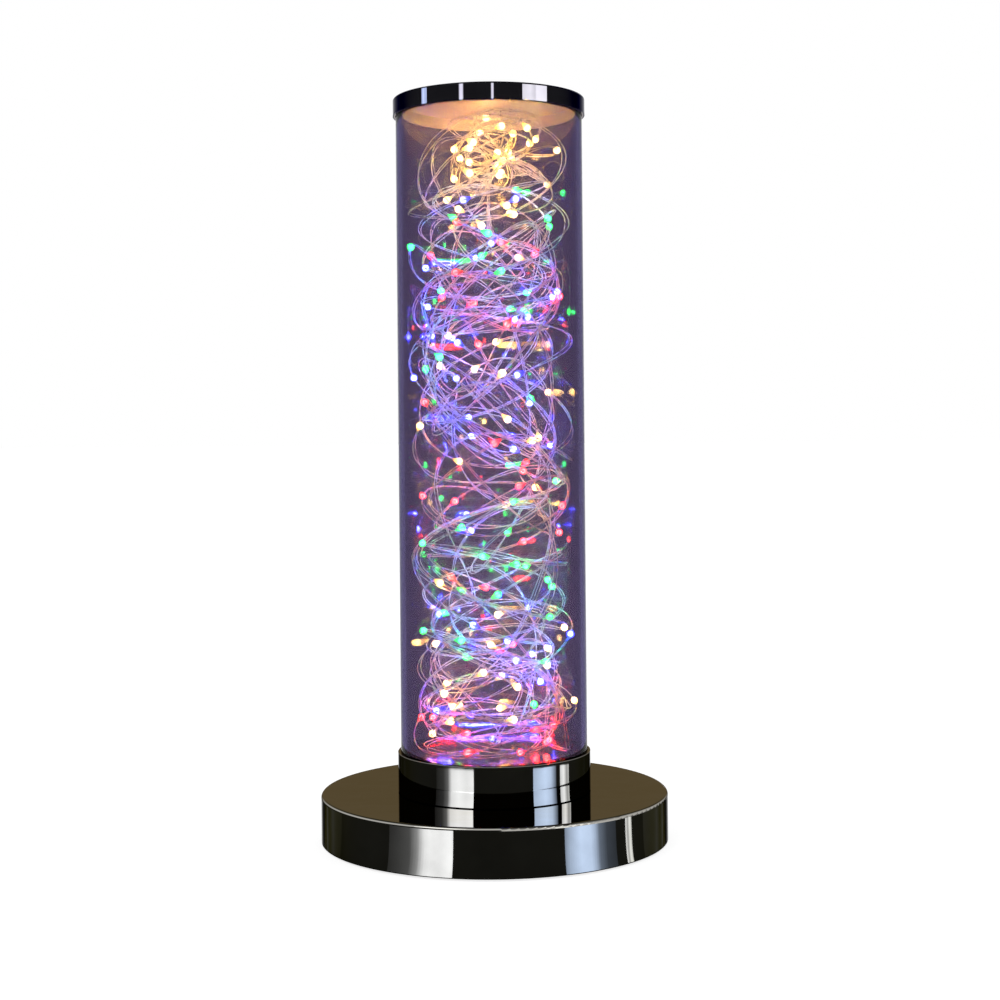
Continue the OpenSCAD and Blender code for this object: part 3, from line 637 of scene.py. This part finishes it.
def plating():
    """Dark plating whose glancing shine is nearly neutral on the sides; on the flat top it is brown, a
    painted reflection, and the rounded edge carries a painted highlight line.
    """
    material = surface("plated_metal", *PLATE_COLOURS, PLATE_GRAIN, PLATE_ROUGH, metallic=1.0)
    tree = material.node_tree
    shader = tree.nodes["Principled BSDF"]
    facing = add_node(tree, "ShaderNodeLayerWeight", Blend=0.5).outputs["Facing"]
    height = part_z(tree, "Normal")
    upward = add_node(tree, "ShaderNodeMapRange", From_Min=TOP_FROM, From_Max=TOP_TO)
    tree.links.new(height, upward.inputs["Value"])
    shine = colour_mix(tree, upward.outputs["Result"])
    tree.links.new(shine_ramp(tree, facing, SIDE_SHINE), shine.inputs["A"])
    # The flat top's brown shine is a painted reflection.
    tree.links.new(shine_ramp(tree, facing, TOP_PAINTED_REFLECTION), shine.inputs["B"])
    tree.links.new(shine.outputs["Result"], shader.inputs["Specular Tint"])
    # The rounded edge's bright plating is a painted highlight line.
    edge_highlight = colour_mix(tree, colour_ramp(tree, height, EDGE_HIGHLIGHT_STOPS))
    tree.links.new(shader.inputs["Base Color"].links[0].from_socket, edge_highlight.inputs["A"])
    edge_highlight.inputs["B"].default_value = (*EDGE_PAINTED_HIGHLIGHT, 1.0)
    tree.links.new(edge_highlight.outputs["Result"], shader.inputs["Base Color"])
    _, ripple = noise_between(tree, 0.0, 1.0, RIPPLE_SCALE, detail=2)
    add_bump(tree, shader, ripple, 1.0, RIPPLE_DEPTH)
    return material


def over(tree, value, limit):
    """1 where a value is above a limit, else 0."""
    test = tree.nodes.new("ShaderNodeMath")
    test.operation = "GREATER_THAN"
    test.inputs[1].default_value = limit
    tree.links.new(value, test.inputs[0])
    return test.outputs["Value"]


def greatest(tree, first, *others):
    """The greatest of some values."""
    for other in others:
        join = tree.nodes.new("ShaderNodeMath")
        join.operation = "MAXIMUM"
        tree.links.new(first, join.inputs[0])
        tree.links.new(other, join.inputs[1])
        first = join.outputs["Value"]
    return first


def reach_over(tree, radius):
    """1 where a point lies further from the lamp's axis than a radius, else 0."""
    place = tree.nodes.new("ShaderNodeTexCoord")
    flat = tree.nodes.new("ShaderNodeVectorMath")
    flat.operation = "MULTIPLY"
    flat.inputs[1].default_value = (1, 1, 0)
    reach = tree.nodes.new("ShaderNodeVectorMath")
    reach.operation = "LENGTH"
    tree.links.new(place.outputs["Object"], flat.inputs[0])
    tree.links.new(flat.outputs["Vector"], reach.inputs[0])
    return over(tree, reach.outputs["Value"], radius)


def cap_plating():
    """Dark plating outside; bright warm plating on the inside of the rim, which stands in for the glow of the
    lights under the cap as painted light.
    """
    material, tree, shader = new_material("cap_plating")
    above = over(tree, part_z(tree, "Object"), Z_CAP_INSIDE)
    mix = colour_mix(tree, greatest(tree, above, reach_over(tree, CAP_INSIDE_R)))
    colour, _ = noise_between(tree, *CAP_COLOURS, PLATE_GRAIN)
    roughness, _ = noise_between(tree, *PLATE_ROUGH, PLATE_GRAIN * ROUGH_GRAIN)
    mix.inputs["A"].default_value = (*CAP_INSIDE_PAINTED_GLOW, 1.0)
    tree.links.new(colour, mix.inputs["B"])
    tree.links.new(mix.outputs["Result"], shader.inputs["Base Color"])
    tree.links.new(roughness, shader.inputs["Roughness"])
    shader.inputs["Metallic"].default_value = 1.0
    shader.inputs["Specular Tint"].default_value = (*CAP_EDGE, 1.0)
    return material


# Tube

TUBE_TINTS, TUBE_GRAIN = ((0.285, 0.222, 0.275), (0.295, 0.232, 0.285)), 12
TUBE_IOR, TUBE_SEGMENTS, TUBE_SHARP = 1.05, 256, 30
WALL_COLOUR, WALL_DENSITY = (0.05, 0.04, 0.60), 80.0
GROOVE_SCALE, GROOVE_STRETCH, GROOVE_DEPTH = 1400, (1, 1, 0.002), 0.000012
COAT_IOR, COAT_ROUGHNESS = 3.0, 0.015


def tube_material():
    """Smoky clear plastic; fine drawing lines inside stretch the lights' reflections sideways."""
    material, tree, shader = new_material("tinted_tube")
    tint, _ = noise_between(tree, *TUBE_TINTS, TUBE_GRAIN, detail=2)
    _, lines = noise_between(tree, 0.0, 1.0, GROOVE_SCALE, detail=1, stretch=GROOVE_STRETCH)
    grooves = add_node(tree, "ShaderNodeBump", Strength=1.0, Distance=GROOVE_DEPTH)
    outside = reach_over(tree, (TUBE_R + TUBE_IR) / 2 * MM)
    tree.links.new(tint, shader.inputs["Base Color"])
    tree.links.new(lines, grooves.inputs["Height"])
    tree.links.new(grooves.outputs["Normal"], shader.inputs["Coat Normal"])
    tree.links.new(scaled(tree, outside, 1.0, 0.0), shader.inputs["Coat Weight"])
    shader.inputs["Coat Roughness"].default_value = COAT_ROUGHNESS
    shader.inputs["Coat IOR"].default_value = COAT_IOR
    shader.inputs["Roughness"].default_value = 0.0
    shader.inputs["IOR"].default_value = TUBE_IOR
    shader.inputs["Transmission Weight"].default_value = 1.0
    wall = add_node(tree, "ShaderNodeVolumeAbsorption", Color=(*WALL_COLOUR, 1.0), Density=WALL_DENSITY)
    tree.links.new(wall.outputs["Volume"], tree.nodes["Material Output"].inputs["Volume"])
    return material


def build_tube():
    low, high = (corner[2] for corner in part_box("clear_tube"))
    profile = [(TUBE_R * MM, low), (TUBE_R * MM, high), (TUBE_IR * MM, high), (TUBE_IR * MM, low)]
    shape = lathe_mesh(profile, TUBE_SEGMENTS, closed=True)
    tube = mesh_object("tinted_tube", *shape, tube_material(), sharp=TUBE_SHARP)
    clean(tube.data)
    settle(tube, "tinted_tube", "clear_tube")


# Everything else keeps its CAD shape and gets its finish: colours, grain, roughness, metallic, bump

MIRRORS = {
    # The floor mirror's rosy tint is a painted reflection of the red lights near the floor.
    "inner_floor": ("floor_mirror_painted_red", (0.62, 0.27, 0.27), (0.70, 0.34, 0.34), 40, (0.05, 0.12), 1.0),
    # The cap mirror's golden tint is a painted reflection of the warm lights under the cap.
    "cap_mirror": ("cap_mirror", (0.66, 0.55, 0.40), (0.74, 0.63, 0.46), 40, (0.38, 0.50), 1.0),
}
FINISHES = {
    "cast_weight": ((0.10, 0.10, 0.105), (0.17, 0.17, 0.18), 300, (0.6, 0.8), 0.0, 0.0003),
    "painted_plate": ((0.020, 0.020, 0.021), (0.032, 0.032, 0.034), 800, (0.5, 0.65), 0.0, 0.0001),
    "bare_steel": ((0.50, 0.51, 0.53), (0.64, 0.65, 0.67), 500, (0.25, 0.4), 1.0),
    "foot_rubber": ((0.018, 0.018, 0.018), (0.032, 0.032, 0.033), 900, (0.7, 0.9), 0.0, 0.0001),
    "seal_rubber": ((0.60, 0.60, 0.60), (0.70, 0.70, 0.70), 500, (0.4, 0.6)),
    "black_moulding": ((0.018, 0.018, 0.020), (0.030, 0.030, 0.033), 1500, (0.45, 0.6), 0.0, 0.00008),
    "white_moulding": ((0.72, 0.72, 0.68), (0.80, 0.80, 0.76), 600, (0.35, 0.5)),
    "green_moulding": ((0.04, 0.22, 0.12), (0.06, 0.28, 0.16), 600, (0.35, 0.5)),
    "rocker_plastic": ((0.010, 0.010, 0.011), (0.018, 0.018, 0.019), 900, (0.15, 0.25)),
    "terminal_brass": ((0.62, 0.50, 0.28), (0.74, 0.62, 0.38), 500, (0.25, 0.4), 1.0),
    "board_laminate": ((0.02, 0.14, 0.06), (0.03, 0.19, 0.08), 700, (0.3, 0.45)),
    "capacitor_can": ((0.05, 0.06, 0.16), (0.07, 0.08, 0.21), 500, (0.25, 0.4)),
    "red_insulation": ((0.42, 0.03, 0.03), (0.52, 0.05, 0.04), 500, (0.35, 0.5)),
    "black_insulation": ((0.02, 0.02, 0.02), (0.035, 0.035, 0.035), 600, (0.4, 0.55)),
}


def dress_nodes():
    plated = plating()
    for node, material in (("base_shell", plated), ("tube_collar", plated), ("top_cap", cap_plating())):
        dress(node, material, PLATE_SHARP)
    for node, values in MIRRORS.items():
        dress(node, surface(*values))
    finishes = {slot: surface(slot, *values) for slot, values in FINISHES.items()}
    for part in frame["record"]["subparts"]:
        if part["material_slot"] in finishes:
            dress(part["node"], finishes[part["material_slot"]], FINISH_SHARP)


# Stage

WORLD_FILL, FLOOR_GLOW = 0.45, 0.80
FLOOR_COLOURS, FLOOR_GRAIN, FLOOR_ROUGHNESS = ((0.50, 0.50, 0.50), (0.53, 0.53, 0.53)), 3, 0.9
FLOOR_HALF = 30.0
# Softboxes: place, size, radiance
LAMP_AIM = (0, 0, 0.2)
SOFTBOXES = {
    "key_softbox": ((-1.2, -1.3, 1.9), (1.2, 1.2), 1.8),
    "fill_softbox": ((1.5, -0.6, 1.6), (1.0, 1.0), 1.1),
    "back_softbox": ((0.2, 1.6, 1.8), (1.2, 0.8), 1.1),
}


def sees_background(tree):
    """1 for rays that show the background: from the camera, in gloss and through glass."""
    path = tree.nodes.new("ShaderNodeLightPath")
    rays = ("Is Camera Ray", "Is Glossy Ray", "Is Transmission Ray")
    return greatest(tree, *(path.outputs[ray] for ray in rays))


def build_world():
    world = bpy.data.worlds.new("studio")
    world.use_nodes = True
    tree = world.node_tree
    background = tree.nodes["Background"]
    background.inputs["Color"].default_value = (*WHITE, 1.0)
    tree.links.new(scaled(tree, sees_background(tree), WORLD_FILL, 1.0), background.inputs["Strength"])
    bpy.context.scene.world = world


def build_floor():
    material, tree, shader = new_material("studio_floor")
    colour, _ = noise_between(tree, *FLOOR_COLOURS, FLOOR_GRAIN)
    tree.links.new(colour, shader.inputs["Base Color"])
    shader.inputs["Roughness"].default_value = FLOOR_ROUGHNESS
    shader.inputs["Specular IOR Level"].default_value = 0.0
    shader.inputs["Emission Color"].default_value = (*WHITE, 1.0)
    tree.links.new(scaled(tree, sees_background(tree), 0.0, FLOOR_GLOW), shader.inputs["Emission Strength"])
    corners = [(x * FLOOR_HALF, y * FLOOR_HALF, 0) for x, y in ((-1, -1), (1, -1), (1, 1), (-1, 1))]
    floor = mesh_object("studio_floor", corners, [(0, 1, 2, 3)], material, smooth=False)


def build_lamps():
    """Rectangular lamps of a given radiance that face the middle of the lamp."""
    for name, (place, size, radiance) in SOFTBOXES.items():
        data = bpy.data.lights.new(name, "AREA")
        data.shape = "RECTANGLE"
        data.size, data.size_y = size
        data.energy = radiance * math.pi * size[0] * size[1]
        lamp = bpy.data.objects.new(name, data)
        lamp.location = place
        lamp.rotation_euler = (Vector(LAMP_AIM) - Vector(place)).to_track_quat("-Z", "Y").to_euler()
        lamp.visible_camera = False
        bpy.context.scene.collection.objects.link(lamp)


# Cards that the plating mirrors as strips of light. Each has stops: the azimuth that is
# mirrored, 0 towards the camera and positive to its right, and the share of the radiance

SKY, CREAM = (0.62, 0.76, 1.0), (1.0, 1.0, 0.92)
BASE_CARDS = (
    (((-150, 0.035), (-138, 0.022), (-118, 0.006)), WHITE),
    (((-70.5, 0.02), (-63, 0.04), (-55.5, 0.065), (-50, 0.25), (-45, 0.85), (-41.5, 1.0), (-34, 0.92),
      (-28, 1.0), (-26, 0.9)), WHITE),
    (((45, 0.35), (48, 0.6), (56, 1.0), (63.5, 0.9), (67, 0.6), (70, 0.2), (76, 0.06), (84, 0.03)), SKY),
    (((93, 0.8), (95, 0.3), (97, 0.8), (99, 0.5)), WHITE),
    (((112, 0.010), (138, 0.022), (150, 0.035)), WHITE),
)
COLLAR_CARDS = (
    (((-72, 0.01), (-62, 0.03), (-56, 0.12), (-51, 0.8), (-42, 0.95), (-33, 0.9), (-26, 1.0),
      (-24, 0.9)), WHITE),
    (((46.5, 0.7), (55, 0.9), (62, 1.0), (70, 0.8), (75, 0.35), (78, 0.1)), SKY),
    (((84, 0.6), (90, 0.9), (95, 0.3), (99, 0.5)), WHITE),
)
CAP_CARDS = (
    (((-84, 0.5), (-81, 1.0), (-78, 0.6), (-76, 0.9)), SKY),
    (((-33.5, 0.6), (-31, 1.0), (-28.5, 0.6)), WHITE),
    (((3.5, 0.5), (5, 0.8), (6.5, 0.5)), WHITE),
    (((40, 0.75), (50, 0.9), (56, 0.7), (58, 1.0), (72, 0.9)), CREAM),
)
CARD_STEPS = 24
BASE_R, COLLAR_R, CAP_R, IMAGE_R = 92.75 * MM, 51.6 * MM, 51.5 * MM, 52.1 * MM
FLOOR_CARD_Z, FOOT_CARD_Z, Z_COLLAR_TOP = 0.4 * MM, 26.3 * MM, 47.5 * MM
BASE_REACH, COLLAR_REACH, FOOT_REACH = (0.004, 0.118), (0.160, 0.238), (0.0006, 0.0405)
# The cap's cards end just below its top, so that the top never mirrors them
CAP_CARD_GAP, CAP_CARD_HEIGHTS = 2.0 * MM, (387.7 * MM, 396.4 * MM)
# Plating tints what it mirrors, so the cards are tinted against it
CARD_RADIANCE, SIDE_TINT = 180.0, (0.775, 0.79, 1.0)
TOP_RADIANCE, TOP_TINT = 26.0, (0.37, 0.50, 1.0)
CAP_RADIANCE = 110.0


def round_place(azimuth, distance, height):
    """A place round the lamp: azimuth 0 is towards the camera, positive to its right."""
    a = math.radians(azimuth)
    return (distance * math.sin(a), -distance * math.cos(a), height)


def floor_spots(radius, reach, height):
    """Ends of a flat card's line, on the way of a reflection from a round wall outwards."""
    def spots(azimuth):
        foot = round_place(azimuth / 2, radius, height)
        way = round_place(azimuth, 1.0, 0.0)
        return [(foot[0] + d * way[0], foot[1] + d * way[1], height) for d in reach]
    return spots


def panel_spots(radius, distance, heights):
    """Ends of an upright card's line, some way out on a reflection from a round wall."""
    def spots(azimuth):
        foot = round_place(azimuth / 2, radius, 0.0)
        way = round_place(azimuth, distance, 0.0)
        return [(foot[0] + way[0], foot[1] + way[1], height) for height in heights]
    return spots


def wall_spots(radius, heights):
    """Ends of an upright card's line, where a round wall mirrors that azimuth."""
    return lambda azimuth: [round_place(azimuth / 2, radius, height) for height in heights]


def card_material(name, stops, radiance, colour):
    """A clear card that shines only from its front, by its stops."""
    material = bpy.data.materials.new(name)
    material.use_nodes = True
    tree = material.node_tree
    tree.nodes.clear()
    place = tree.nodes.new("ShaderNodeUVMap")
    split = tree.nodes.new("ShaderNodeSeparateXYZ")
    shine = add_node(tree, "ShaderNodeEmission", Strength=radiance)
    side = tree.nodes.new("ShaderNodeNewGeometry")
    clear = tree.nodes.new("ShaderNodeBsdfTransparent")
    front = tree.nodes.new("ShaderNodeAddShader")
    mix = tree.nodes.new("ShaderNodeMixShader")
    out = tree.nodes.new("ShaderNodeOutputMaterial")
    first, last = stops[0][0], stops[-1][0]
    spread = [((azimuth - first) / (last - first), dimmed(colour, share)) for azimuth, share in stops]
    tree.links.new(place.outputs["UV"], split.inputs["Vector"])
    tree.links.new(colour_ramp(tree, split.outputs["X"], spread), shine.inputs["Color"])
    tree.links.new(shine.outputs["Emission"], front.inputs[0])
    tree.links.new(clear.outputs["BSDF"], front.inputs[1])
    tree.links.new(side.outputs["Backfacing"], mix.inputs["Fac"])
    tree.links.new(front.outputs["Shader"], mix.inputs[1])
    tree.links.new(clear.outputs["BSDF"], mix.inputs[2])
    tree.links.new(mix.outputs["Shader"], out.inputs["Surface"])
    return material


def light_only(card, piece):
    """Lets a card's light reach one piece and no other."""
    group = bpy.data.collections.new(card.name + "_lights")
    group.objects.link(piece)
    card.light_linking.receiver_collection = group


def build_card(name, node, spots, stops, radiance, colour):
    """A card that only one CAD node's gloss sees."""
    first, last = stops[0][0], stops[-1][0]
    points = []
    for k in range(CARD_STEPS + 1):
        points += spots(first + (last - first) * k / CARD_STEPS)
    faces = [(2 * k, 2 * k + 1, 2 * k + 3, 2 * k + 2) for k in range(CARD_STEPS)]
    card = mesh_object(name, points, faces, card_material(name, stops, radiance, colour), smooth=False)
    spread = card.data.uv_layers.new(name="spread")
    for loop in card.data.loops:
        spread.data[loop.index].uv = (loop.vertex_index // 2 / CARD_STEPS, loop.vertex_index % 2)
    card.visible_camera = card.visible_diffuse = card.visible_transmission = card.visible_shadow = False
    light_only(card, NODES[node])


def build_cards():
    """Strips in the base's side, in the collar, in its image on the base's top, and in the cap."""
    base = floor_spots(BASE_R, BASE_REACH, FLOOR_CARD_Z)
    collar = floor_spots(COLLAR_R, COLLAR_REACH, FLOOR_CARD_Z)
    foot = floor_spots(COLLAR_R, FOOT_REACH, FOOT_CARD_Z)
    image = wall_spots(IMAGE_R, (Z_COLLAR_TOP, FOOT_CARD_Z))
    cap = panel_spots(CAP_R, CAP_CARD_GAP, CAP_CARD_HEIGHTS)
    rows = (
        ("base_card", "base_shell", base, BASE_CARDS, CARD_RADIANCE, SIDE_TINT),
        ("collar_card", "tube_collar", collar, COLLAR_CARDS, CARD_RADIANCE, SIDE_TINT),
        ("foot_card", "tube_collar", foot, COLLAR_CARDS, CARD_RADIANCE, SIDE_TINT),
        ("image_card", "base_shell", image, COLLAR_CARDS, TOP_RADIANCE, TOP_TINT),
        ("cap_card", "top_cap", cap, CAP_CARDS, CAP_RADIANCE, WHITE),
    )
    for name, node, spots, cards, radiance, tint in rows:
        for number, (stops, colour) in enumerate(cards):
            build_card(f"{name}_{number}", node, spots, stops, radiance, tinted(colour, tint))


# Camera and settings

CAMERA_PLACE, CAMERA_ROLL, CAMERA_NEAR = (0.0046, -0.941, 0.218), 0.51, 0.01
CAMERA_LENS, CAMERA_SENSOR, CAMERA_SHIFT = 63.0, 36.0, -0.068


def build_camera():
    data = bpy.data.cameras.new("camera")
    data.sensor_fit = "HORIZONTAL"
    data.sensor_width = CAMERA_SENSOR
    data.lens = CAMERA_LENS
    data.shift_y = CAMERA_SHIFT
    data.clip_start = CAMERA_NEAR
    camera = bpy.data.objects.new("camera", data)
    camera.location = CAMERA_PLACE
    camera.rotation_mode = "XYZ"
    camera.rotation_euler = (math.radians(90), math.radians(CAMERA_ROLL), 0)
    bpy.context.scene.collection.objects.link(camera)
    bpy.context.scene.camera = camera


def build_settings():
    scene = bpy.context.scene
    scene.view_settings.view_transform = "Standard"
    scene.cycles.sample_clamp_indirect = 0
    scene.cycles.max_bounces = 16
    scene.cycles.transmission_bounces = 16
    scene.cycles.glossy_bounces = 8
    scene.cycles.transparent_max_bounces = 16
    scene.cycles.caustics_reflective = False
    scene.cycles.caustics_refractive = False


for strand in NESTS:
    build_strand(strand)
build_tube()
dress_nodes()
build_world()
build_floor()
build_lamps()
build_cards()
build_camera()
build_settings()
